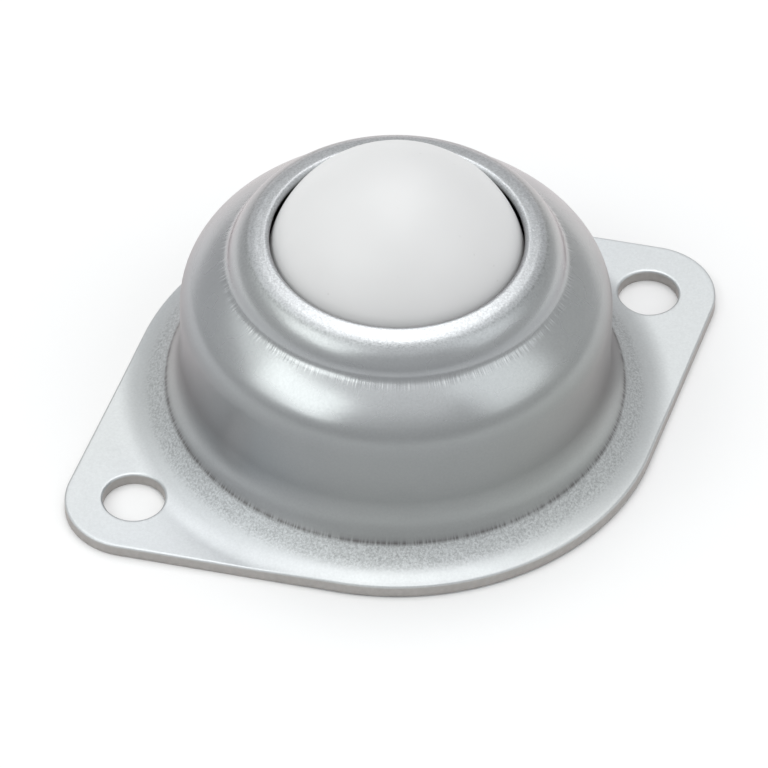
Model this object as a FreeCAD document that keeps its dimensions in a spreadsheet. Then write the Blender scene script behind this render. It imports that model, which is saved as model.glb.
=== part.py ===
import FreeCAD, Part
import math
import os

import Sketcher

# Ball transfer unit with a two-hole flange.
# The origin is the middle of the flange's underside, +Z points up through the ball, and the
# two mounting holes lie on the X axis. Lengths are in millimetres and angles in degrees.

# Driving sizes. Each can be set by itself.
SIZES = {
    # Load ball, support balls and the cup that they run in.
    "ball_dia": 25.4,
    "support_dia": 4.0,
    "run_clearance": 0.03,
    "cup_wall": 1.1,
    "crown_clearance": 0.14,
    "row_angle": 18.5,
    # Drawn housing.
    "sheet_thick": 1.3,
    "cup_to_bore": 1.79,
    "foot_radius": 4.6,
    "shoulder_radius": 4.66,
    "shoulder_drop": 4.32,
    # From the shoulder in to the ball: a flatter top, a crease, a slope and a lip, which keep the
    # ball in. Each angle is that of the outward normal over level, where the stretch ends.
    "shoulder_angle": 42.0,
    "top_radius": 14.59,
    "top_angle": 57.0,
    "crease_radius": 1.6,
    "crease_angle": 18.0,
    "slope_radius": 4.28,
    "slope_angle": 60.0,
    "lip_radius": 2.2,
    "lip_angle": 80.0,
    "ring_length": 0.73,
    "lip_thick": 1.0,
    # Flange.
    "flange_rim": 0.55,
    "hole_dia": 6.0,
    "hole_gap": 0.45,
    "ear_margin": 3.7,
    "edge_round": 0.2,
    # Base cover, pressed into the bore.
    "cover_thick": 1.0,
    "cover_lift": 0.2,
    "cover_corner": 1.8,
    "cover_grip": 1.6,
    "seat_clearance": 0.02,
}

# Sizes that follow from the driving ones, as formulas of the sheet.
FORMULAS = {
    "ball_radius": "ball_dia / 2",
    "support_radius": "support_dia / 2",
    "pitch_radius": "ball_radius + run_clearance + support_radius",
    "race_radius": "pitch_radius + support_radius + run_clearance",
    "cup_radius": "race_radius + cup_wall",
    "ball_height": "crown_clearance + cup_radius",
    # Wall, foot and shoulder of the housing.
    "bore_radius": "cup_radius + cup_to_bore",
    "wall_radius": "bore_radius + sheet_thick",
    "foot_edge": "wall_radius + foot_radius",
    "foot_rise": "sheet_thick + foot_radius",
    "shoulder_centre": "wall_radius - shoulder_radius",
    "shoulder_height": "ball_height - shoulder_drop",
    # Direction of the outward normal where one stretch of the dome meets the next.
    "shoulder_cos": "cos(shoulder_angle * 1deg)",
    "shoulder_sin": "sin(shoulder_angle * 1deg)",
    "top_cos": "cos(top_angle * 1deg)",
    "top_sin": "sin(top_angle * 1deg)",
    "crease_cos": "cos(crease_angle * 1deg)",
    "crease_sin": "sin(crease_angle * 1deg)",
    "slope_cos": "cos(slope_angle * 1deg)",
    "slope_sin": "sin(slope_angle * 1deg)",
    "lip_cos": "cos(lip_angle * 1deg)",
    "lip_sin": "sin(lip_angle * 1deg)",
    # Centres of the arcs. Each arc touches the one before it, so its centre lies on their normal.
    "top_x": "shoulder_centre - (top_radius - shoulder_radius) * shoulder_cos",
    "top_z": "shoulder_height - (top_radius - shoulder_radius) * shoulder_sin",
    "crease_x": "top_x + (top_radius + crease_radius) * top_cos",
    "crease_z": "top_z + (top_radius + crease_radius) * top_sin",
    "slope_x": "crease_x - (crease_radius + slope_radius) * crease_cos",
    "slope_z": "crease_z - (crease_radius + slope_radius) * crease_sin",
    "lip_x": "slope_x + (slope_radius - lip_radius) * slope_cos",
    "lip_z": "slope_z + (slope_radius - lip_radius) * slope_sin",
    # Ends of the arcs on the outside, and on the inside one sheet's thickness further in.
    "knee_out_x": "shoulder_centre + shoulder_radius * shoulder_cos",
    "knee_out_z": "shoulder_height + shoulder_radius * shoulder_sin",
    "knee_in_x": "knee_out_x - sheet_thick * shoulder_cos",
    "knee_in_z": "knee_out_z - sheet_thick * shoulder_sin",
    "top_out_x": "top_x + top_radius * top_cos",
    "top_out_z": "top_z + top_radius * top_sin",
    "top_in_x": "top_out_x - sheet_thick * top_cos",
    "top_in_z": "top_out_z - sheet_thick * top_sin",
    "crease_out_x": "crease_x - crease_radius * crease_cos",
    "crease_out_z": "crease_z - crease_radius * crease_sin",
    "crease_in_x": "crease_out_x - sheet_thick * crease_cos",
    "crease_in_z": "crease_out_z - sheet_thick * crease_sin",
    "slope_out_x": "slope_x + slope_radius * slope_cos",
    "slope_out_z": "slope_z + slope_radius * slope_sin",
    "slope_in_x": "slope_out_x - sheet_thick * slope_cos",
    "slope_in_z": "slope_out_z - sheet_thick * slope_sin",
    "lip_out_x": "lip_x + lip_radius * lip_cos",
    "lip_out_z": "lip_z + lip_radius * lip_sin",
    "lip_in_x": "lip_out_x - sheet_thick * lip_cos",
    "lip_in_z": "lip_out_z - sheet_thick * lip_sin",
    # The lip runs out straight, thinned by the spinning, and ends in a rounded tip.
    "tip_out_x": "lip_out_x - ring_length * lip_sin",
    "tip_out_z": "lip_out_z + ring_length * lip_cos",
    "tip_in_x": "tip_out_x - lip_thick * lip_cos",
    "tip_in_z": "tip_out_z - lip_thick * lip_sin",
    "tip_x": "(tip_out_x + tip_in_x) / 2",
    "tip_z": "(tip_out_z + tip_in_z) / 2",
    # Flange outline: a disc and two ears, joined by straight lines that touch both.
    "disc_radius": "foot_edge + flange_rim",
    "hole_radius": "hole_dia / 2",
    "hole_offset": "foot_edge + hole_gap + hole_radius",
    "ear_radius": "hole_radius + ear_margin",
    "side_cos": "(disc_radius - ear_radius) / hole_offset",
    "side_sin": "sqrt(1 - side_cos ^ 2)",
    "disc_x": "disc_radius * side_cos",
    "disc_y": "disc_radius * side_sin",
    "ear_x": "hole_offset + ear_radius * side_cos",
    "ear_y": "ear_radius * side_sin",
    # The rim of the cup stops under the inside of the shoulder's top.
    "rim_offset": "cup_radius - top_x",
    "rim_height": "top_z + sqrt((top_radius - sheet_thick) ^ 2 - rim_offset ^ 2) - seat_clearance",
    "rim_drop": "ball_height - rim_height",
    "rim_out": "sqrt(cup_radius ^ 2 - rim_drop ^ 2)",
    "rim_in": "sqrt(race_radius ^ 2 - rim_drop ^ 2)",
    "race_bottom": "ball_height - race_radius",
    # Base cover: its hole is the seat of the cup's crown.
    "cover_top": "cover_lift + cover_thick",
    "cover_outer": "bore_radius - seat_clearance",
    "cover_inner": "cover_outer - cover_thick",
    "cover_bend": "cover_outer - cover_corner",
    "cover_bend_z": "cover_lift + cover_corner",
    "cover_height": "foot_rise + cover_grip",
    "cover_hole": "sqrt(cup_radius ^ 2 - (ball_height - cover_top) ^ 2) + seat_clearance",
}

# Balls in each row of support balls, from the row next to the centre ball up. The rows are
# not quite full, so that the balls have room to roll round.
ROW_COUNTS = (6, 12, 16, 19)

# How a sketch numbers its axes and the points of an element.
X_AXIS, Y_AXIS = range(-1, -3, -1)
START, END, CENTRE = range(1, 4)
ORIGIN = (X_AXIS, START)


def make_sheet(doc):
    """Fill the sheet: one row for each size, with its name, its value and an alias."""
    sheet = doc.addObject("Spreadsheet::Sheet", "Sizes")
    rows = [(name, str(value)) for name, value in SIZES.items()]
    rows += [(name, "=" + formula) for name, formula in FORMULAS.items()]
    for row, (name, content) in enumerate(rows, start=1):
        sheet.set("A%d" % row, name)
        sheet.set("B%d" % row, content)
        sheet.setAlias("B%d" % row, name)
    doc.recompute()
    return sheet


def size(sheet, name):
    """Value of a coordinate that is given as 0, an alias or an alias with a minus sign."""
    if name == "0":
        return 0.0
    if name.startswith("-"):
        return -float(sheet.get(name[1:]))
    return float(sheet.get(name))


def formula_of(name):
    """The same coordinate as an expression for another object of the document."""
    return "-Sizes." + name[1:] if name.startswith("-") else "Sizes." + name


def plane_of(body, role):
    """One of the body's own origin planes."""
    return next(item for item in body.Origin.OriginFeatures if item.Role == role)


def add_sketch(body, name, role):
    """A sketch on an origin plane of the body."""
    sketch = body.newObject("Sketcher::SketchObject", name)
    sketch.AttachmentSupport = [(plane_of(body, role), "")]
    sketch.MapMode = "FlatFace"
    return sketch


def fix_coordinate(sketch, sheet, geometry, point, kind, name):
    """Tie one coordinate of a point to the sheet, or put the point on an axis."""
    if name == "0":
        axis = Y_AXIS if kind == "DistanceX" else X_AXIS
        sketch.addConstraint(Sketcher.Constraint("PointOnObject", geometry, point, axis))
        return
    value = size(sheet, name)
    index = sketch.addConstraint(Sketcher.Constraint(kind, *ORIGIN, geometry, point, value))
    sketch.setExpression("Constraints[%d]" % index, formula_of(name))


def add_outline(sketch, sheet, start, stretches):
    """A closed outline. Each stretch runs from the end of the last one to its own end point.
    A stretch with a centre is an arc: it turns left where the last value is 1, right at -1."""
    placed = []
    last = [size(sheet, name) for name in start]
    for stretch in stretches:
        end = [size(sheet, name) for name in stretch[:2]]
        if len(stretch) == 2:
            line = Part.LineSegment(FreeCAD.Vector(*last, 0), FreeCAD.Vector(*end, 0))
            placed.append((sketch.addGeometry(line), START, END, None))
        else:
            centre = [size(sheet, name) for name in stretch[2:4]]
            radius = math.dist(last, centre)
            first = math.atan2(last[1] - centre[1], last[0] - centre[0])
            final = math.atan2(end[1] - centre[1], end[0] - centre[0])
            left = stretch[4] > 0
            low, high = (first, final) if left else (final, first)
            high += 2 * math.pi if high <= low else 0
            circle = Part.Circle(FreeCAD.Vector(*centre, 0), FreeCAD.Vector(0, 0, 1), radius)
            arc = Part.ArcOfCircle(circle, low, high)
            ends = (START, END) if left else (END, START)
            placed.append((sketch.addGeometry(arc), *ends, (low + high) / 2))
        last = end
    corners = [start] + [stretch[:2] for stretch in stretches[:-1]]
    for index, (geometry, begin, _, middle_angle) in enumerate(placed):
        before, _, before_end, _ = placed[index - 1]
        sketch.addConstraint(Sketcher.Constraint("Coincident", before, before_end, geometry, begin))
        fix_coordinate(sketch, sheet, geometry, begin, "DistanceX", corners[index][0])
        fix_coordinate(sketch, sheet, geometry, begin, "DistanceY", corners[index][1])
        if middle_angle is None:
            continue
        # The ends leave the centre one freedom, along the line that halves the arc.
        lies_flat = abs(math.cos(middle_angle)) >= abs(math.sin(middle_angle)) - 1e-6
        kind = "DistanceX" if lies_flat else "DistanceY"
        name = stretches[index][2] if lies_flat else stretches[index][3]
        fix_coordinate(sketch, sheet, geometry, CENTRE, kind, name)


def add_circle(sketch, sheet, centre_x, radius_name):
    """A full circle on the X axis, with its radius tied to the sheet."""
    radius = size(sheet, radius_name)
    place = FreeCAD.Vector(size(sheet, centre_x), 0, 0)
    geometry = sketch.addGeometry(Part.Circle(place, FreeCAD.Vector(0, 0, 1), radius))
    fix_coordinate(sketch, sheet, geometry, CENTRE, "DistanceX", centre_x)
    fix_coordinate(sketch, sheet, geometry, CENTRE, "DistanceY", "0")
    index = sketch.addConstraint(Sketcher.Constraint("Radius", geometry, radius))
    sketch.setExpression("Constraints[%d]" % index, formula_of(radius_name))


def add_revolution(body, name, sheet, start, stretches):
    """Turn a section, drawn as radius and height, about the Z axis."""
    sketch = add_sketch(body, name + "_section", "XZ_Plane")
    add_outline(sketch, sheet, start, stretches)
    revolution = body.newObject("PartDesign::Revolution", name)
    revolution.Profile = sketch
    revolution.ReferenceAxis = (sketch, ["V_Axis"])
    revolution.Angle = 360
    sketch.Visibility = False
    return revolution


def make_housing(doc, sheet):
    """Flange, foot, wall, shoulder, crease, slope and lip of one drawn sheet."""
    body = doc.addObject("PartDesign::Body", "housing")
    sketch = add_sketch(body, "flange_outline", "XY_Plane")
    add_outline(sketch, sheet, ("disc_x", "disc_y"), [
        ("-disc_x", "disc_y", "0", "0", 1),
        ("-ear_x", "ear_y"),
        ("-ear_x", "-ear_y", "-hole_offset", "0", 1),
        ("-disc_x", "-disc_y"),
        ("disc_x", "-disc_y", "0", "0", 1),
        ("ear_x", "-ear_y"),
        ("ear_x", "ear_y", "hole_offset", "0", 1),
        ("disc_x", "disc_y"),
    ])
    add_circle(sketch, sheet, "-hole_offset", "hole_radius")
    add_circle(sketch, sheet, "hole_offset", "hole_radius")
    add_circle(sketch, sheet, "0", "foot_edge")
    flange = body.newObject("PartDesign::Pad", "flange")
    flange.Profile = sketch
    flange.setExpression("Length", "Sizes.sheet_thick")
    sketch.Visibility = False

    # Outside of the sheet from the foot up to the lip, then the inside back down.
    add_revolution(body, "dome", sheet, ("foot_edge", "0"), [
        ("foot_edge", "sheet_thick"),
        ("wall_radius", "foot_rise", "foot_edge", "foot_rise", -1),
        ("wall_radius", "shoulder_height"),
        ("knee_out_x", "knee_out_z", "shoulder_centre", "shoulder_height", 1),
        ("top_out_x", "top_out_z", "top_x", "top_z", 1),
        ("crease_out_x", "crease_out_z", "crease_x", "crease_z", -1),
        ("slope_out_x", "slope_out_z", "slope_x", "slope_z", 1),
        ("lip_out_x", "lip_out_z", "lip_x", "lip_z", 1),
        ("tip_out_x", "tip_out_z"),
        ("tip_in_x", "tip_in_z", "tip_x", "tip_z", 1),
        ("lip_in_x", "lip_in_z"),
        ("slope_in_x", "slope_in_z", "lip_x", "lip_z", -1),
        ("crease_in_x", "crease_in_z", "slope_x", "slope_z", -1),
        ("top_in_x", "top_in_z", "crease_x", "crease_z", 1),
        ("knee_in_x", "knee_in_z", "top_x", "top_z", -1),
        ("bore_radius", "shoulder_height", "shoulder_centre", "shoulder_height", -1),
        ("bore_radius", "foot_rise"),
        ("foot_edge", "0", "foot_edge", "foot_rise", 1),
    ])
    doc.recompute()
    round_flange_edge(doc, sheet, body)
    return body


def round_flange_edge(doc, sheet, body):
    """Round the upper edge of the flange, where the shearing drew the sheet over. Its edges
    lie in the upper face, outside the dome's foot and away from the walls of both holes."""
    base = body.Tip
    top = size(sheet, "sheet_thick")
    names = []
    for number, edge in enumerate(base.Shape.Edges, start=1):
        middle = edge.valueAt((edge.FirstParameter + edge.LastParameter) / 2)
        level = max(abs(vertex.Z - top) for vertex in edge.Vertexes) < 1e-6
        outside = math.hypot(middle.x, middle.y) > size(sheet, "disc_radius") - 1e-6
        from_hole = math.hypot(abs(middle.x) - size(sheet, "hole_offset"), middle.y)
        if level and outside and from_hole > size(sheet, "hole_radius") + 1e-6:
            names.append("Edge%d" % number)
    fillet = body.newObject("PartDesign::Fillet", "flange_edge_round")
    fillet.Base = (base, names)
    fillet.setExpression("Radius", "Sizes.edge_round")
    doc.recompute()


def make_load_ball(doc):
    """The ball that carries the goods."""
    ball = doc.addObject("Part::Sphere", "load_ball")
    ball.setExpression("Radius", "Sizes.ball_radius")
    ball.setExpression("Placement.Base.z", "Sizes.ball_height")
    return ball


def make_ball_cup(doc, sheet):
    """Hemispherical cup whose inside is the race of the support balls."""
    body = doc.addObject("PartDesign::Body", "ball_cup")
    add_revolution(body, "cup_shell", sheet, ("0", "crown_clearance"), [
        ("rim_out", "rim_height", "0", "ball_height", 1),
        ("rim_in", "rim_height"),
        ("0", "race_bottom", "0", "ball_height", -1),
        ("0", "crown_clearance"),
    ])
    return body


def make_base_cover(doc, sheet):
    """Shallow dish with an upright rim that grips the bore, and a hole for the cup's crown."""
    body = doc.addObject("PartDesign::Body", "base_cover")
    add_revolution(body, "cover_dish", sheet, ("cover_hole", "cover_lift"), [
        ("cover_bend", "cover_lift"),
        ("cover_outer", "cover_bend_z", "cover_bend", "cover_bend_z", 1),
        ("cover_outer", "cover_height"),
        ("cover_inner", "cover_height"),
        ("cover_inner", "cover_bend_z"),
        ("cover_bend", "cover_top", "cover_bend", "cover_bend_z", -1),
        ("cover_hole", "cover_top"),
        ("cover_hole", "cover_lift"),
    ])
    return body


def make_support_ball(doc, name, polar, around):
    """One support ball. Its polar angle is measured from the lowest point of the cup."""
    ball = doc.addObject("Part::Sphere", name)
    out = math.sin(math.radians(polar))
    ball.setExpression("Radius", "Sizes.support_radius")
    ball.setExpression("Placement.Base.x", "Sizes.pitch_radius * %.9f" % (out * math.cos(around)))
    ball.setExpression("Placement.Base.y", "Sizes.pitch_radius * %.9f" % (out * math.sin(around)))
    ball.setExpression(
        "Placement.Base.z",
        "Sizes.ball_height - Sizes.pitch_radius * %.9f" % math.cos(math.radians(polar)))
    return ball


def make_support_balls(doc, sheet):
    """The ball under the centre and the rows around it, each row shifted by half a ball's
    share of the circle against its neighbours."""
    balls = [make_support_ball(doc, "support_ball_centre", 0.0, 0.0)]
    for row, count in enumerate(ROW_COUNTS, start=1):
        polar = row * size(sheet, "row_angle")
        for number in range(1, count + 1):
            around = 2 * math.pi * (number + row % 2 / 2) / count
            name = "support_ball_row%d_%02d" % (row, number)
            balls.append(make_support_ball(doc, name, polar, around))
    return balls


def check(doc, pieces):
    """Stop before anything is written if an object failed or a piece has no sound shape."""
    for item in doc.Objects:
        if "Invalid" in item.State or "Error" in item.State:
            raise RuntimeError("%s did not compute: %s" % (item.Label, item.State))
    for piece in pieces:
        if piece.Shape.isNull() or not piece.Shape.isValid() or not piece.Shape.Solids:
            raise RuntimeError("%s has no sound solid" % piece.Label)


def main():
    doc = FreeCAD.newDocument("BallTransferUnit")
    sheet = make_sheet(doc)
    pieces = [
        make_housing(doc, sheet),
        make_load_ball(doc),
        make_ball_cup(doc, sheet),
        make_base_cover(doc, sheet),
    ]
    pieces += make_support_balls(doc, sheet)
    doc.recompute()
    check(doc, pieces)
    os.makedirs("parts", exist_ok=True)
    for piece in pieces:
        piece.Shape.exportStep("parts/%s.step" % piece.Label)
        print("%-28s %2d solid, %10.3f mm3" % (
            piece.Label, len(piece.Shape.Solids), piece.Shape.Volume))


main()
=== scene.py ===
import math

import bpy
import numpy as np
from mathutils import Matrix, Vector


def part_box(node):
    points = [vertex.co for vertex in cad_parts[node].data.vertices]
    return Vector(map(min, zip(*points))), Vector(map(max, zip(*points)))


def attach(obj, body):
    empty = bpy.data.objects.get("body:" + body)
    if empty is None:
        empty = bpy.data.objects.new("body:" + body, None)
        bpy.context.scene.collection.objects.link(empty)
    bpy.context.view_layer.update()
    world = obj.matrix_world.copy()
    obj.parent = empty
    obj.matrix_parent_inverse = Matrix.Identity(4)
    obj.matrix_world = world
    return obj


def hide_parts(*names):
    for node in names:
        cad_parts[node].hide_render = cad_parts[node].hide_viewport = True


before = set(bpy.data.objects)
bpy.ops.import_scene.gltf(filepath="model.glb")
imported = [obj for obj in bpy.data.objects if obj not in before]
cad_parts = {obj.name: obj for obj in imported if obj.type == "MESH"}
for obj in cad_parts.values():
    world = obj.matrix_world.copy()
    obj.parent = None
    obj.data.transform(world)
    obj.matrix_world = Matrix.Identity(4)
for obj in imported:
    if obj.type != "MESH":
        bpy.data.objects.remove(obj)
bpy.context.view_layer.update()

scene = bpy.context.scene

# Sizes of the part in metres. The frame gives the height of the ball, and later that of the cup's
# rim. The upright wall runs from the bore to WALL, and the foot's arc ends at FOOT_EDGE, where the
# flange begins.
MM = 0.001
BALL_RADIUS = 12.7 * MM
BALL_HEIGHT = (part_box("load_ball")[0].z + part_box("load_ball")[1].z) / 2
SHEET = 1.3 * MM
WALL = 20.95 * MM
BORE = WALL - SHEET
FOOT_EDGE = 25.55 * MM
FOOT_CENTRE = (27.45 * MM, 7.8 * MM)
FOOT_RADIUS = 6.5 * MM
SHOULDER_CENTRE = (16.29 * MM, 13.68 * MM)

# From the shoulder in to the ball: radius of each arc, and the angle of the sheet's outward normal
# over level where the arc ends. The crease is the one arc that is hollow.
SHOULDER_RADIUS, SHOULDER_ANGLE = 4.66 * MM, 42.0
TOP_RADIUS, TOP_ANGLE = 14.59 * MM, 57.0
CREASE_RADIUS, CREASE_ANGLE = 1.6 * MM, 18.0
SLOPE_RADIUS, SLOPE_ANGLE = 4.28 * MM, 60.0
LIP_RADIUS, LIP_ANGLE = 2.2 * MM, 80.0
RING_LENGTH = 0.73 * MM
LIP_THICK = 1.0 * MM

# Flange: a disc and two ears, joined by straight lines that touch both. Its upper edge is rounded
# and its lower one broken, and the punch draws the upper edge of the holes over.
DISC_RADIUS = 26.1 * MM
EAR_RADIUS = 6.7 * MM
HOLE_OFFSET = 29.0 * MM
HOLE_RADIUS = 3.0 * MM
HOLE_DRAWN = 0.26 * MM
EDGE_ROUND = 0.2 * MM
EDGE_BREAK = 0.06 * MM
SIDE_ANGLE = math.acos((DISC_RADIUS - EAR_RADIUS) / HOLE_OFFSET)

# Columns of the housing's grid. The ears have the finest ones. The block of the flange's grid that
# gives way to a hole has this many rows, and this many columns on each side of the hole's middle.
COLUMNS = 480
EAR_CROWDING = 0.55
HOLE_ROWS = 20
HOLE_COLUMNS = 26

# Bands on the housing, for finish and for painted shade: middle and width, as distance from the
# axis. The first three lie above a height, and the foot's line below one. The crease's band darkens
# the hollow crease with painted shade, and the foot's line is painted shade along the foot's bend.
CREASE_SHADE_BAND, CREASE_SHADE_LOW = (16.12 * MM, 0.26 * MM), 19.6 * MM
LIP_FOOT_BAND, LIP_FOOT_LOW = (14.45 * MM, 0.28 * MM), 20.5 * MM
STRETCH_BAND, STRETCH_LOW = (16.78 * MM, 0.28 * MM), 17.5 * MM
FOOT_SHADE_LINE_BAND, FOOT_SHADE_LINE_HIGH = (22.42 * MM, 0.16 * MM), 5 * MM

# Changes of finish: where each begins and where it is complete. The distances from the axis come
# first, and then the heights. Towards the foot the wall's painted shade, a darker tone that stands
# in for the dark surroundings it mirrors, loses a share, and so does its burnish; the slope has a
# share of the lip's coarse grain.
MATT_START = (22.35 * MM, 22.55 * MM)
SHADE_AND_BURNISH_FADE, SHADE_AND_BURNISH_LOSS = (20.97 * MM, 21.8 * MM), 0.52
SHADE_AND_BURNISH_END = 23.8 * MM
SLOPE_GRAIN, SLOPE_SHARE = (15.9 * MM, 14.9 * MM), 0.4
DRAWN_START = (22.3 * MM, 22.6 * MM)
DRAWN_END = (24.9 * MM, 23.8 * MM)
SPUN_START = (22.40 * MM, 22.56 * MM)
SHADE_AND_BURNISH_TOP = (17.6 * MM, 14.2 * MM)
SHEAR_TOP = (0.97 * SHEET, 0.8 * SHEET)

# Direction of the camera, in degrees from the front of the part.
CAMERA_AZIMUTH = -29.93


def arc(centre, radius, start, end, steps):
    """Points on a circle round the centre, from the start angle to the end angle in degrees. The
    last point is left to the next stretch."""
    turn = np.radians(np.linspace(start, end, steps, endpoint=False))
    return np.column_stack((centre[0] + radius * np.cos(turn), centre[1] + radius * np.sin(turn)))


def straight(start, end, shares):
    """Points on a straight line at the given shares of the way."""
    shares = np.asarray(shares, float)[:, None]
    return np.asarray(start, float) * (1 - shares) + np.asarray(end, float) * shares


def smooth_step(none, full, values):
    """0 up to the first value, 1 from the second one on, and an even, smooth change between them.
    The first value may be the larger one."""
    share = np.clip((values - none) / (full - none), 0, 1)
    return share * share * (3 - 2 * share)


def bell(values, middle, width):
    """1 at the middle, falling off on both sides as a bell curve does."""
    return np.exp(-((values - middle) / width) ** 2)


def at_height(flat, height):
    """The flat points, given as X and Y, each at its height."""
    return np.concatenate((flat, np.broadcast_to(height, flat.shape[:-1] + (1,))), axis=-1)


def make_piece(name, points, faces, zones=None):
    """A smooth-shaded mesh object from points and faces. Each zone is a number for every point,
    kept as an attribute that the materials read. Points that no face uses are left out."""
    used = np.zeros(len(points), bool)
    for group in faces:
        used[group.ravel()] = True
    place = np.cumsum(used) - 1
    lists = [face for group in faces for face in place[group].tolist()]
    mesh = bpy.data.meshes.new(name)
    mesh.from_pydata(points[used].tolist(), [], lists)
    mesh.polygons.foreach_set("use_smooth", [True] * len(mesh.polygons))
    for zone, values in (zones or {}).items():
        layer = mesh.attributes.new(zone, "FLOAT", "POINT")
        layer.data.foreach_set("value", values[used].astype(np.float32))
    mesh.update()
    piece = bpy.data.objects.new(name, mesh)
    scene.collection.objects.link(piece)
    return piece


def ring_faces(rows, close_rows=False):
    """Quads of a grid of point numbers whose columns close round. They face right of the rows'
    order, seen with the columns running away."""
    following = np.roll(rows, -1, axis=1)
    if close_rows:
        rows_next, following_next = np.roll(rows, -1, axis=0), np.roll(following, -1, axis=0)
    else:
        rows_next, following_next = rows[1:], following[1:]
        rows, following = rows[:-1], following[:-1]
    return np.stack((rows, following, following_next, rows_next), axis=-1).reshape(-1, 4)


def turned(section, columns):
    """The section, as radius and height, at every step of a full turn about the Z axis."""
    around = 2 * math.pi * np.arange(columns) / columns
    outward = np.stack((np.cos(around), np.sin(around)), axis=-1)
    return at_height(section[:, 0, None, None] * outward, section[:, 1, None, None])


def turned_and_closed(section, columns, first_pole, last_pole):
    """Points and faces of a section turned about the Z axis. The first and the last ring are each
    closed by triangles round a point on the axis, at the given height."""
    body = turned(section, columns).reshape(-1, 3)
    poles = np.array(((0, 0, first_pole), (0, 0, last_pole)))
    rows = np.arange(len(body)).reshape(-1, columns)
    first = np.stack((np.full(columns, len(body)), np.roll(rows[0], -1), rows[0]), axis=-1)
    last = np.stack((np.full(columns, len(body) + 1), rows[-1], np.roll(rows[-1], -1)), axis=-1)
    return np.concatenate((body, poles)), [ring_faces(rows), first, last]


def facing(angle):
    """Direction at an angle in degrees over level, as radius and height."""
    return np.array((math.cos(math.radians(angle)), math.sin(math.radians(angle))))


def housing_section():
    """Section of the drawn sheet as radius and height: up the outside from the foot to the lip,
    round its tip, and down the inside to the flange's underside. Each arc's centre lies on the
    normal that it shares with the arc before it. The rows of the outside come first, and their
    number is returned too."""
    top = np.array(SHOULDER_CENTRE) - (TOP_RADIUS - SHOULDER_RADIUS) * facing(SHOULDER_ANGLE)
    crease = top + (TOP_RADIUS + CREASE_RADIUS) * facing(TOP_ANGLE)
    slope = crease - (CREASE_RADIUS + SLOPE_RADIUS) * facing(CREASE_ANGLE)
    lip = slope + (SLOPE_RADIUS - LIP_RADIUS) * facing(SLOPE_ANGLE)
    ring_start = lip + LIP_RADIUS * facing(LIP_ANGLE)
    ring_end = ring_start + RING_LENGTH * facing(LIP_ANGLE + 90)
    tip = ring_end - LIP_THICK / 2 * facing(LIP_ANGLE)
    ring_end_below = ring_end - LIP_THICK * facing(LIP_ANGLE)
    ring_start_below = ring_start - SHEET * facing(LIP_ANGLE)
    foot_reach = FOOT_CENTRE[0] - FOOT_EDGE
    outer_foot = 180 + math.degrees(math.acos(foot_reach / FOOT_RADIUS))
    inner_foot = 180 + math.degrees(math.acos(foot_reach / (FOOT_RADIUS + SHEET)))
    outside = [
        arc(FOOT_CENTRE, FOOT_RADIUS, outer_foot, 180, 24),
        straight((WALL, FOOT_CENTRE[1]), (WALL, SHOULDER_CENTRE[1]), (0, 0.15, 0.4, 0.7, 0.93)),
        arc(SHOULDER_CENTRE, SHOULDER_RADIUS, 0, SHOULDER_ANGLE, 14),
        arc(top, TOP_RADIUS, SHOULDER_ANGLE, TOP_ANGLE, 8),
        arc(crease, CREASE_RADIUS, TOP_ANGLE + 180, CREASE_ANGLE + 180, 14),
        arc(slope, SLOPE_RADIUS, CREASE_ANGLE, SLOPE_ANGLE, 14),
        arc(lip, LIP_RADIUS, SLOPE_ANGLE, LIP_ANGLE, 8),
        straight(ring_start, ring_end, (0, 0.3, 0.65)),
        arc(tip, LIP_THICK / 2, LIP_ANGLE, LIP_ANGLE + 180, 12),
    ]
    inside = [
        straight(ring_end_below, ring_start_below, (0, 0.5)),
        arc(lip, LIP_RADIUS - SHEET, LIP_ANGLE, SLOPE_ANGLE, 3),
        arc(slope, SLOPE_RADIUS - SHEET, SLOPE_ANGLE, CREASE_ANGLE, 6),
        arc(crease, CREASE_RADIUS + SHEET, CREASE_ANGLE + 180, TOP_ANGLE + 180, 6),
        arc(top, TOP_RADIUS - SHEET, TOP_ANGLE, SHOULDER_ANGLE, 3),
        arc(SHOULDER_CENTRE, SHOULDER_RADIUS - SHEET, SHOULDER_ANGLE, 0, 6),
        straight((BORE, SHOULDER_CENTRE[1]), (BORE, FOOT_CENTRE[1]), (0, 0.07, 0.5, 0.93)),
        arc(FOOT_CENTRE, FOOT_RADIUS + SHEET, 180, inner_foot, 9),
    ]
    return np.vstack(outside + inside), sum(len(stretch) for stretch in outside)


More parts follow.
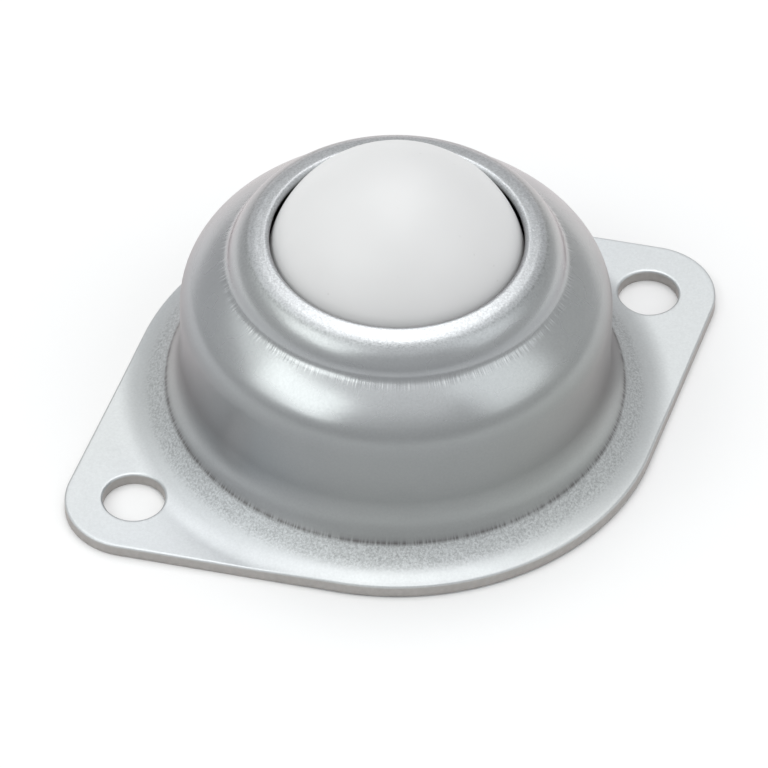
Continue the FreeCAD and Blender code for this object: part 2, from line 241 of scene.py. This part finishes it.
def flange_rim(around):
    """Point and outward normal of the flange's outline at each angle. Folded into one quarter,
    the line is the disc's circle, then the straight side, then the ear's circle round the hole."""
    folded = np.arctan2(np.abs(np.sin(around)), np.abs(np.cos(around)))
    ear_x = HOLE_OFFSET + EAR_RADIUS * math.cos(SIDE_ANGLE)
    ear_y = EAR_RADIUS * math.sin(SIDE_ANGLE)
    on_disc = folded > SIDE_ANGLE
    on_ear = folded <= math.atan2(ear_y, ear_x)
    side_reach = DISC_RADIUS / np.cos(np.minimum(folded, SIDE_ANGLE) - SIDE_ANGLE)
    squared = np.clip(EAR_RADIUS ** 2 - (HOLE_OFFSET * np.sin(folded)) ** 2, 0, None)
    ear_reach = HOLE_OFFSET * np.cos(folded) + np.sqrt(squared)
    reach = np.where(on_disc, DISC_RADIUS, np.where(on_ear, ear_reach, side_reach))
    point = np.stack((reach * np.cos(folded), reach * np.sin(folded)), axis=-1)
    from_hole = point - np.array((HOLE_OFFSET, 0.0))
    heading = np.where(on_disc, folded, SIDE_ANGLE)
    heading = np.where(on_ear, np.arctan2(from_hole[:, 1], from_hole[:, 0]), heading)
    normal = np.stack((np.cos(heading), np.sin(heading)), axis=-1)
    left_or_right = np.where(np.cos(around) < 0, -1, 1)
    front_or_back = np.where(np.sin(around) < 0, -1, 1)
    side = np.stack((left_or_right, front_or_back), axis=-1)
    return point * side, normal * side


def flange_rows(around, outward):
    """Rows of the flange in three parts: the underside out to the rim, the edge upwards, and the
    upper face back in. On both faces the rows lie at shares of the straight way from the foot's
    circle to the rim. The edge is the outline moved inwards along its normal: a little where the
    lower edge is broken, and by a quarter round at the upper edge."""
    rim, normal = flange_rim(around)
    shares = np.concatenate(((0.0, 0.008), np.linspace(0.06, 0.94, 20), (0.975, 1.0)))
    shares = shares[:, None, None]
    foot = FOOT_EDGE * outward
    under = foot * (1 - shares) + (rim - normal * EDGE_BREAK) * shares
    over = (foot * (1 - shares) + (rim - normal * EDGE_ROUND) * shares)[::-1]
    rounding = np.radians(np.linspace(0, 90, 6))[:-1]
    broken = np.array((0.3, 0.7)) * EDGE_BREAK
    upright = (EDGE_BREAK, 0.3 * SHEET, 0.6 * SHEET, 0.82 * SHEET)
    insets = np.concatenate((broken[::-1], (0, 0, 0, 0), EDGE_ROUND * (1 - np.cos(rounding))))
    heights = np.concatenate((broken, upright, SHEET - EDGE_ROUND * (1 - np.sin(rounding))))
    edge = rim - normal * insets[:, None, None]
    return at_height(under, 0.0), at_height(edge, heights[:, None, None]), at_height(over, SHEET)[:-1]


def lift_foot(points):
    """Lay the flange's points on the end of the foot's arcs. Inside the arcs' centre, the under and
    upper face rise along the larger and the smaller arc, and points between them keep their share
    of the thickness."""
    across = np.hypot(points[:, 0], points[:, 1])
    reach = np.clip(FOOT_CENTRE[0] - across, 0, None)
    low = FOOT_CENTRE[1] - np.sqrt((FOOT_RADIUS + SHEET) ** 2 - reach ** 2)
    high = FOOT_CENTRE[1] - np.sqrt(FOOT_RADIUS ** 2 - reach ** 2)
    height = low + (high - low) * points[:, 2] / SHEET
    return np.column_stack((points[:, :2], height))


def block_edge(rows, columns):
    """Point numbers round a block of the flange's grid, counterclockwise seen from above. The
    rows run from the outside in, and the columns counterclockwise."""
    return np.concatenate((rows[0, columns[:-1]], rows[:-1, columns[-1]],
                           rows[-1, columns[:0:-1]], rows[:0:-1, columns[0]]))


def hole_section():
    """Section of the hole in the flange, as distance from its rim and height: the punch draws the
    upper edge over in a quarter round, then come the upright wall and a small broken edge."""
    drawn = np.radians(np.linspace(90, 180, 6))
    over = np.column_stack((HOLE_DRAWN * (1 + np.cos(drawn)), SHEET - HOLE_DRAWN * (1 - np.sin(drawn))))
    wall = straight((0, SHEET * 0.76), (0, EDGE_BREAK), (0.1, 0.5, 0.9, 1))
    broken = np.array(((EDGE_BREAK * 0.3, EDGE_BREAK * 0.3), (EDGE_BREAK, 0)))
    return np.vstack((over, wall, broken))


def hole_rings(points, above, below, middle, first_number):
    """Rings from the block's edge above to the hole, down its section, and out to the block's edge
    below. Every point stays in its own direction from the hole's middle, and on both faces the
    rings lie at shares of the way. The new points and all faces are returned."""
    section = hole_section()
    spoke = points[above, :2] - np.array((middle, 0.0))
    spoke_length = np.linalg.norm(spoke, axis=-1)
    direction = spoke / spoke_length[:, None]
    rings = np.array((0.25, 0.5, 0.75, 0.93))[:, None]
    over = spoke_length * (1 - rings) + (HOLE_RADIUS + section[0, 0]) * rings
    under = (spoke_length * (1 - rings) + (HOLE_RADIUS + section[-1, 0]) * rings)[::-1]
    sleeve = HOLE_RADIUS + section[:, :1] + 0 * spoke_length
    reaches = np.concatenate((over, sleeve, under))[:, :, None]
    heights = np.concatenate((np.full(len(rings), SHEET), section[:, 1], np.zeros(len(rings))))
    new_points = at_height(np.array((middle, 0.0)) + reaches * direction, heights[:, None, None])
    new_points = new_points.reshape(-1, 3)
    numbers = first_number + np.arange(len(new_points)).reshape(-1, len(above))
    return new_points, ring_faces(np.concatenate((above[None], numbers, below[None])))


def zinc_zones(points, outside, cut):
    """Share of each finish, and of each band of painted shade, on every point of the housing, before
    its foot is lifted. The shares follow from the distance from the axis and the height, and two
    sets of points are given: those of the outside, and those of the cut edges."""
    across = np.hypot(points[:, 0], points[:, 1])
    up = points[:, 2]
    slope_grain = SLOPE_SHARE * smooth_step(*SLOPE_GRAIN, across)
    lip_grain = np.maximum(bell(across, *LIP_FOOT_BAND), slope_grain)
    return {
        "matt_zinc": smooth_step(*MATT_START, across),
        "spun_lip": outside * smooth_step(*SPUN_START, up),
        # The wall's share carries its burnish, which roughens it, and painted shade, a darker tone for
        # the dark surroundings it mirrors.
        "wall_burnish_and_shade": smooth_step(*SHADE_AND_BURNISH_TOP, up) * (across < SHADE_AND_BURNISH_END)
                          * (1 - SHADE_AND_BURNISH_LOSS * smooth_step(*SHADE_AND_BURNISH_FADE, across)),
        # Painted shade in the hollow crease.
        "crease": outside * bell(across, *CREASE_SHADE_BAND) * (up > CREASE_SHADE_LOW),
        "lip_foot": outside * (up > LIP_FOOT_LOW) * lip_grain,
        "stretch_marks": outside * bell(across, *STRETCH_BAND) * (up > STRETCH_LOW),
        "drawn_foot": outside * smooth_step(*DRAWN_START, across) * smooth_step(*DRAWN_END, across),
        # Painted shade along the foot's hollow bend.
        "foot_shade_line": outside * bell(across, *FOOT_SHADE_LINE_BAND) * (up < FOOT_SHADE_LINE_HIGH),
        "sheared_edge": cut * smooth_step(*SHEAR_TOP, up),
    }


def make_housing():
    """The whole pressed sheet as one closed grid, whose columns crowd at the ears: each angle is
    moved by a share of the sine of its double. The dome's rows are the section turned about Z, and
    the flange's rows follow. Round each hole a block of the flange's grid, above and below, gives
    way to rings. At last the flange's points are laid on the foot's arcs."""
    turn = 2 * math.pi * np.arange(COLUMNS) / COLUMNS
    around = turn - EAR_CROWDING * np.sin(2 * turn) / 2
    outward = np.stack((np.cos(around), np.sin(around)), axis=-1)
    section, outside_rows = housing_section()
    dome = at_height(section[:, 0, None, None] * outward, section[:, 1, None, None])
    under, edge, over = flange_rows(around, outward)
    points = np.concatenate((dome, under, edge, over)).reshape(-1, 3)
    rows = np.arange(len(points)).reshape(-1, COLUMNS)
    first_under = len(dome)
    first_edge = first_under + len(under)
    first_over = first_edge + len(edge)

    keep = np.ones(rows.shape, bool)
    all_points = [points]
    hole_faces = []
    over_block = rows[len(rows) - HOLE_ROWS:]
    under_block = rows[first_under + HOLE_ROWS:first_under:-1]
    for first_column, middle in ((0, HOLE_OFFSET), (COLUMNS // 2, -HOLE_OFFSET)):
        columns = np.arange(first_column - HOLE_COLUMNS, first_column + HOLE_COLUMNS + 1) % COLUMNS
        keep[np.ix_(over_block[:-1, 0] // COLUMNS, columns[:-1])] = False
        keep[np.ix_(under_block[1:, 0] // COLUMNS, columns[:-1])] = False
        above = block_edge(over_block, columns)
        below = block_edge(under_block, columns)
        first_number = sum(len(group) for group in all_points)
        new_points, new_faces = hole_rings(points, above, below, middle, first_number)
        all_points.append(new_points)
        hole_faces.append(new_faces)
    grid_faces = ring_faces(rows, close_rows=True).reshape(rows.shape + (4,))[keep]
    points = np.concatenate(all_points)

    numbers = np.arange(len(points))
    outside = numbers < outside_rows * COLUMNS
    on_edge = (numbers >= first_edge * COLUMNS) & (numbers < first_over * COLUMNS)
    from_hole = np.hypot(np.abs(points[:, 0]) - HOLE_OFFSET, points[:, 1])
    in_hole = (numbers >= rows.size) & (from_hole < HOLE_RADIUS + 0.5 * EDGE_BREAK)
    zones = zinc_zones(points, outside, on_edge | in_hole)
    flange_start = first_under * COLUMNS
    points[flange_start:] = lift_foot(points[flange_start:])
    return make_piece("housing_shell", points, [grid_faces, np.concatenate(hole_faces)], zones)


def make_load_ball():
    """A full sphere: rings of latitude at even angles from the lowest to the highest, closed by a
    point at each pole."""
    rings, columns = 96, 160
    tilt = np.pi * np.arange(1, rings) / rings - np.pi / 2
    section = np.column_stack((BALL_RADIUS * np.cos(tilt), BALL_HEIGHT + BALL_RADIUS * np.sin(tilt)))
    poles = (BALL_HEIGHT - BALL_RADIUS, BALL_HEIGHT + BALL_RADIUS)
    return make_piece("load_ball_turned", *turned_and_closed(section, columns, *poles))


def make_ball_cup():
    """Hemispherical cup: the outer sphere from the crown up, a flat rim with broken edges, and the
    race back down. Both arcs stop a share of a degree short of the rim, and both poles are closed
    by a point."""
    outer, race = 17.86 * MM, 16.76 * MM
    columns, short = 144, 0.4
    slant, drop, broken = 0.02 * MM, 0.03 * MM, 0.12 * MM
    rim_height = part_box("ball_cup")[1].z
    outer_end = math.degrees(math.asin((rim_height - BALL_HEIGHT) / outer))
    race_end = math.degrees(math.asin((rim_height - BALL_HEIGHT) / race))
    rim_out = outer * math.cos(math.radians(outer_end))
    rim_in = race * math.cos(math.radians(race_end))
    centre = (0.0, BALL_HEIGHT)
    section = np.vstack((
        arc(centre, outer, -90, outer_end - short, 40)[1:],
        np.array(((rim_out - slant, rim_height - drop), (rim_out - broken, rim_height),
                  (rim_in + broken, rim_height), (rim_in + slant, rim_height - drop))),
        arc(centre, race, race_end - short, -90, 40),
    ))
    poles = (BALL_HEIGHT - outer, BALL_HEIGHT - race)
    return make_piece("ball_cup_drawn", *turned_and_closed(section, columns, *poles))


def make_base_cover():
    """Shallow dish pressed into the bore: its section, turned about Z, is a flat floor with a hole
    for the cup's crown, a corner arc and an upright rim. Every cut edge is rounded."""
    outer, thick, lift = 19.63 * MM, 1.0 * MM, 0.2 * MM
    corner, hole, height = 1.8 * MM, 6.081 * MM, 7.5 * MM
    bend = (outer - corner, lift + corner)
    broken = 0.15 * MM
    section = np.vstack((
        arc((hole + broken, lift + broken), broken, 180, 270, 3),
        straight((hole + broken, lift), (bend[0], lift), (0, 0.02, 0.5, 0.96)),
        arc(bend, corner, -90, 0, 10),
        straight((outer, bend[1]), (outer, height - broken), (0, 0.5)),
        arc((outer - broken, height - broken), broken, 0, 90, 3),
        arc((outer - thick + broken, height - broken), broken, 90, 180, 3),
        straight((outer - thick, height - broken), (outer - thick, bend[1]), (0, 0.5)),
        arc(bend, corner - thick, 0, -90, 6),
        straight((bend[0], lift + thick), (hole + broken, lift + thick), (0, 0.5, 0.98)),
        arc((hole + broken, lift + thick - broken), broken, 90, 180, 3),
    ))
    columns = 144
    points = turned(section, columns).reshape(-1, 3)
    rows = np.arange(len(points)).reshape(-1, columns)
    return make_piece("base_cover_pressed", points, [ring_faces(rows, close_rows=True)])


def new_material(name):
    """An empty node material, returned with its node tree and its surface shader."""
    material = bpy.data.materials.new(name)
    material.use_nodes = True
    tree = material.node_tree
    return material, tree, tree.nodes["Principled BSDF"]


def set_input(tree, socket, value):
    """Link a value that is a socket, or put a plain value on the socket."""
    if isinstance(value, bpy.types.NodeSocket):
        tree.links.new(value, socket)
    else:
        socket.default_value = value


def add_node(tree, kind, **values):
    """A node with its settings and input values. An input is given by its name, or by the letter i
    and its number."""
    node = tree.nodes.new(kind)
    for key, value in values.items():
        if hasattr(node, key):
            setattr(node, key, value)
        elif key[0] == "i" and key[1:].isdigit():
            set_input(tree, node.inputs[int(key[1:])], value)
        else:
            set_input(tree, node.inputs[key], value)
    return node


def dress_shader(tree, shader, **values):
    """Put values and sockets on the surface shader's inputs. An underscore stands for a space."""
    for key, value in values.items():
        set_input(tree, shader.inputs[key.replace("_", " ")], value)


def object_position(tree):
    """Position on the piece itself, in metres."""
    return add_node(tree, "ShaderNodeTexCoord").outputs["Object"]


def math_node(tree, operation, first, second):
    """One sum, product or other operation on two numbers or sockets."""
    return add_node(tree, "ShaderNodeMath", operation=operation, i0=first, i1=second).outputs[0]


def times(tree, first, second):
    """The product of two numbers or sockets."""
    return math_node(tree, "MULTIPLY", first, second)


def noise(tree, vector, scale, detail=2.0, roughness=0.5):
    """Noise from 0 to 1 at the given number of grains per metre."""
    return add_node(tree, "ShaderNodeTexNoise", Vector=vector, Scale=scale, Detail=detail,
                    Roughness=roughness).outputs[0]


def ramp(tree, value, low, high, start=0.0, end=1.0):
    """The value's stretch from low to high, mapped to start and end."""
    return add_node(tree, "ShaderNodeMapRange", i0=value, i1=low, i2=high, i3=start,
                    i4=end).outputs[0]


def zone_of(tree, name):
    """The number that the mesh keeps for one zone."""
    return add_node(tree, "ShaderNodeAttribute", attribute_name=name).outputs["Fac"]


def mix_colour(tree, factor, first, second):
    """Two colours mixed by a factor."""
    return add_node(tree, "ShaderNodeMix", data_type="RGBA", i0=factor, i6=first,
                    i7=second).outputs[2]


def spokes(tree, position, per_turn, across):
    """Position turned into direction round the Z axis and height, so that noise on it runs in
    lines that point away from the axis."""
    split = add_node(tree, "ShaderNodeSeparateXYZ", i0=position)
    flat = add_node(tree, "ShaderNodeCombineXYZ", i0=split.outputs[0], i1=split.outputs[1])
    unit = add_node(tree, "ShaderNodeVectorMath", operation="NORMALIZE", i0=flat.outputs[0])
    wide = add_node(tree, "ShaderNodeVectorMath", operation="SCALE", i0=unit.outputs[0],
                    Scale=per_turn)
    lift = add_node(tree, "ShaderNodeCombineXYZ", i2=times(tree, split.outputs[2], across))
    return add_node(tree, "ShaderNodeVectorMath", operation="ADD", i0=wide.outputs[0],
                    i1=lift.outputs[0]).outputs[0]


# Tones of the zinc-plated sheet. Where there are two, the plating drifts between them.
SATIN_TONES = ((0.500, 0.518, 0.532, 1), (0.505, 0.524, 0.516, 1))
# Painted shade: the wall's darker tones stand in for the dark surroundings that the wall mirrors.
WALL_SHADE_TONES = ((0.300, 0.312, 0.322, 1), (0.303, 0.316, 0.310, 1))
MATT_TONES = ((0.635, 0.660, 0.676, 1), (0.645, 0.668, 0.668, 1))
CUT_TONES = ((0.42, 0.405, 0.39, 1), (0.56, 0.545, 0.53, 1))
SPUN_TONE = (0.640, 0.660, 0.675, 1)
# Painted shade: the darker tone that the hollow crease is given.
CREASE_SHADE_TONE = (0.360, 0.372, 0.385, 1)
GRAIN_TONE = (0.15, 0.155, 0.16, 1)
PIT_TONE = (0.16, 0.165, 0.17, 1)
DARK_MARK_TONE = (0.20, 0.205, 0.215, 1)
LIGHT_MARK_TONE = (0.85, 0.87, 0.88, 1)
# Painted shade: a dark line along the foot's hollow bend.
FOOT_SHADE_LINE_TONE = (0.14, 0.135, 0.135, 1)


def zinc_material():
    """Satin zinc plating on pressed steel. The flange and the spun lip are matt and pale, the wall
    is burnished, and fine grain covers it all. The wall's darker tone is painted shade that stands
    in for the dark surroundings it mirrors, and the crease is darkened with painted shade too. The
    grain is coarse on the lip, at its foot and on the foot. Short radial lines run through the
    crease, a dark line of painted shade, broken by noise, follows the foot's bend, and the cut
    edges are bare and rough."""
    material, tree, shader = new_material("zinc_plated_sheet")
    position = object_position(tree)
    matt, lip = zone_of(tree, "matt_zinc"), zone_of(tree, "spun_lip")
    burnish_and_shade, crease = zone_of(tree, "wall_burnish_and_shade"), zone_of(tree, "crease")
    lip_foot, foot = zone_of(tree, "lip_foot"), zone_of(tree, "drawn_foot")
    stretch, foot_shade_line = zone_of(tree, "stretch_marks"), zone_of(tree, "foot_shade_line")
    cut = zone_of(tree, "sheared_edge")
    worked = math_node(tree, "MAXIMUM", lip_foot, foot)
    coarse = math_node(tree, "MAXIMUM", worked, times(tree, lip, 0.75))

    drift = ramp(tree, noise(tree, position, 28, 1.0), 0.35, 0.65)
    grain = noise(tree, position, 4200, 3.0, 0.65)
    pits = noise(tree, position, 4500, 3.0, 0.75)
    lines = noise(tree, spokes(tree, position, 42.0, 90.0), 3.0, 3.0, 0.6)
    shade_line_breaks = noise(tree, spokes(tree, position, 40.0, 30.0), 3.0, 2.0, 0.6)
    torn = noise(tree, position, 1500, 3.0, 0.6)
    layers = (
        # Painted shade: the wall's darker tone stands in for the dark surroundings it mirrors.
        (burnish_and_shade, mix_colour(tree, drift, *WALL_SHADE_TONES)),
        (matt, mix_colour(tree, drift, *MATT_TONES)),
        (lip, SPUN_TONE),
        # Painted shade in the hollow crease.
        (times(tree, crease, 0.8), CREASE_SHADE_TONE),
        (ramp(tree, grain, 0.3, 0.7, 0.12, 0.0), GRAIN_TONE),
        (times(tree, coarse, ramp(tree, pits, 0.36, 0.60, 0.46, 0.0)), PIT_TONE),
        (times(tree, stretch, ramp(tree, lines, 0.52, 0.64, 0.0, 0.32)), DARK_MARK_TONE),
        (times(tree, stretch, ramp(tree, lines, 0.46, 0.36, 0.0, 0.45)), LIGHT_MARK_TONE),
        # Painted shade along the foot's bend, broken by noise.
        (times(tree, foot_shade_line, ramp(tree, shade_line_breaks, 0.4, 0.6, 0.4, 0.95)), FOOT_SHADE_LINE_TONE),
        (cut, mix_colour(tree, torn, *CUT_TONES)),
    )
    tint = mix_colour(tree, drift, *SATIN_TONES)
    for share, tone in layers:
        tint = mix_colour(tree, share, tint, tone)

    rough = ramp(tree, noise(tree, position, 260, 2.0), 0.3, 0.7, 0.25, 0.29)
    for zone, extra in ((worked, 0.08), (matt, 0.18), (lip, 0.05), (burnish_and_shade, 0.09), (cut, 0.25)):
        rough = math_node(tree, "ADD", rough, times(tree, zone, extra))

    relief = add_node(tree, "ShaderNodeBump", Strength=0.35, Distance=0.005 * MM, Height=grain)
    for strength, depth, height in (
        (coarse, 0.04 * MM, pits),
        (times(tree, stretch, 0.7), 0.04 * MM, lines),
        (times(tree, cut, 0.8), 0.03 * MM, torn),
    ):
        relief = add_node(tree, "ShaderNodeBump", Strength=strength, Distance=depth, Height=height,
                          Normal=relief.outputs[0])
    dress_shader(tree, shader, Base_Color=tint, Metallic=1.0, Specular_Tint=(1.0, 0.93, 0.93, 1),
                 Roughness=rough, Normal=relief.outputs[0])
    return material


def nylon_material():
    """Satin white nylon: a little light goes in, with faint cloudiness and a few tiny specks."""
    material, tree, shader = new_material("white_nylon")
    position = object_position(tree)
    cloud = ramp(tree, noise(tree, position, 150, 2.0), 0.3, 0.7)
    specks = ramp(tree, noise(tree, position, 1400, 0.0), 0.86, 0.90, 0, 0.25)
    tint = mix_colour(tree, cloud, (0.700, 0.700, 0.700, 1), (0.720, 0.720, 0.720, 1))
    tint = mix_colour(tree, specks, tint, (0.45, 0.44, 0.42, 1))
    rough = ramp(tree, noise(tree, position, 500, 2.0), 0.3, 0.7, 0.40, 0.46)
    relief = add_node(tree, "ShaderNodeBump", Strength=0.3, Distance=0.003 * MM,
                      Height=noise(tree, position, 2500, 2.0))
    dress_shader(tree, shader, Base_Color=tint, Roughness=rough, IOR=1.53, Subsurface_Weight=0.2,
                 Subsurface_Radius=(2 * MM, 2 * MM, 2 * MM), Subsurface_Scale=1.0,
                 Normal=relief.outputs[0])
    return material


def steel_material(name, colour, roughness, grains):
    """Plain hardened, plated or polished steel, with fine grain and uneven polish: where it is a
    little darker it is also a little smoother."""
    material, tree, shader = new_material(name)
    position = object_position(tree)
    cloud = ramp(tree, noise(tree, position, 300, 2.0), 0.3, 0.7)
    darker = tuple(0.85 * part for part in colour)
    tint = mix_colour(tree, cloud, (*darker, 1), (*colour, 1))
    rough = ramp(tree, cloud, 0, 1, roughness, roughness + 0.08)
    relief = add_node(tree, "ShaderNodeBump", Strength=0.3, Distance=0.003 * MM,
                      Height=noise(tree, position, grains, 2.0))
    dress_shader(tree, shader, Base_Color=tint, Metallic=1.0, Roughness=rough,
                 Normal=relief.outputs[0])
    return material


def dress(piece, body, node, material):
    """Put the piece on its body, let it stand for its CAD node, and give it its finish."""
    piece.data.materials.append(material)
    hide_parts(node)
    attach(piece, body)


def floor_material():
    """Plain pale paper."""
    material, tree, shader = new_material("pale_floor")
    cloud = ramp(tree, noise(tree, object_position(tree), 8, 1.0), 0.3, 0.7)
    tint = mix_colour(tree, cloud, (0.91, 0.91, 0.91, 1), (0.92, 0.92, 0.92, 1))
    dress_shader(tree, shader, Base_Color=tint, Roughness=0.9, Specular_IOR_Level=0.1)
    return material


def make_floor():
    """A flat square grid, 8 m wide, a hair under the flange."""
    steps = np.linspace(-4, 4, 9)
    x, y = np.meshgrid(steps, steps)
    points = np.stack((x, y, np.full(x.shape, -0.02 * MM)), axis=-1).reshape(-1, 3)
    rows = np.arange(x.size).reshape(x.shape)
    quads = np.stack((rows[:-1, :-1], rows[:-1, 1:], rows[1:, 1:], rows[1:, :-1]), axis=-1)
    floor = make_piece("floor", points, [quads.reshape(-1, 4)])
    floor.data.materials.append(floor_material())


def direction_of(azimuth, elevation):
    """Direction from the part at an azimuth, measured to the right from its front, and at an
    elevation over level. Both are in radians."""
    return Vector((math.sin(azimuth) * math.cos(elevation),
                   -math.cos(azimuth) * math.cos(elevation), math.sin(elevation)))


def softbox(name, azimuth, elevation, distance, width, height, glow, tint=(1, 1, 1)):
    """A soft panel that faces the part. The azimuth is measured from the camera's side, to the
    right, and the glow is the brightness of the panel's face. Its power is the glow times pi times
    its area."""
    direction = direction_of(math.radians(azimuth + CAMERA_AZIMUTH), math.radians(elevation))
    data = bpy.data.lights.new(name, "AREA")
    data.shape = "RECTANGLE"
    data.size = width
    data.size_y = height
    data.energy = glow * math.pi * width * height
    data.color = tint
    lamp = bpy.data.objects.new(name, data)
    lamp.location = direction * distance + Vector((0, 0, 15 * MM))
    lamp.rotation_mode = "QUATERNION"
    lamp.rotation_quaternion = direction.to_track_quat("Z", "Y")
    lamp.visible_camera = False
    scene.collection.objects.link(lamp)


def make_studio():
    """Even pale surroundings, one large panel high up behind the part, two at the left, one at the
    right, and a weak one above the camera. Each is given by its azimuth and elevation, its
    distance, its width and height, its glow and its tint."""
    world = bpy.data.worlds.new("studio")
    world.use_nodes = True
    world.node_tree.nodes["Background"].inputs["Color"].default_value = (0.58, 0.585, 0.59, 1)
    scene.world = world
    softbox("panel_behind", 180, 75, 1.6, 1.0, 1.5, 2.2)
    softbox("panel_left", -58, 42, 1.5, 1.05, 0.72, 1.6, (0.97, 1.0, 0.98))
    softbox("panel_left_behind", -106, 45, 1.5, 0.9, 0.7, 0.6, (0.97, 1.0, 0.99))
    softbox("panel_right", 70, 44, 1.5, 0.9, 1.0, 0.72, (0.95, 0.98, 1.0))
    softbox("panel_front", 0, 64, 1.9, 1.6, 1.3, 0.33)
    scene.view_settings.view_transform = "Standard"
    scene.view_settings.look = "None"


def make_camera():
    """The camera that was fitted to the photograph: a long lens, about 45 degrees above the floor
    and turned a little about its line of sight. Its place is given in millimetres to the right, up
    and back from the middle of the flange's underside."""
    azimuth, elevation, tilt = (math.radians(value) for value in (CAMERA_AZIMUTH, 45.42, 0.643))
    to_right, to_top, to_back = -1.078, 1.818, 653.9
    back = direction_of(azimuth, elevation)
    level = Vector((math.cos(azimuth), math.sin(azimuth), 0))
    upright = back.cross(level)
    right = math.cos(tilt) * level + math.sin(tilt) * upright
    up = -math.sin(tilt) * level + math.cos(tilt) * upright
    data = bpy.data.cameras.new("camera")
    data.sensor_width = 36.0
    data.lens = 312.0
    data.clip_start = 0.01
    data.clip_end = 50.0
    camera = bpy.data.objects.new("camera", data)
    scene.collection.objects.link(camera)
    turn = Matrix((right, up, back)).transposed().to_4x4()
    place = (right * to_right + up * to_top + back * to_back) * MM
    camera.matrix_world = Matrix.Translation(place) @ turn
    scene.camera = camera


dress(make_housing(), "housing", "housing", zinc_material())
dress(make_load_ball(), "load_ball", "load_ball", nylon_material())
dress(make_ball_cup(), "housing", "ball_cup",
      steel_material("hardened_cup", (0.42, 0.42, 0.42), 0.32, 2500))
dress(make_base_cover(), "housing", "base_cover",
      steel_material("zinc_plated_cover", (0.52, 0.54, 0.54), 0.30, 3500))
polished = steel_material("bearing_steel", (0.62, 0.62, 0.63), 0.12, 4000)
for name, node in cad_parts.items():
    if name.startswith("support_ball"):
        for finish in node.material_slots:
            finish.material = polished

make_floor()
make_studio()
make_camera()
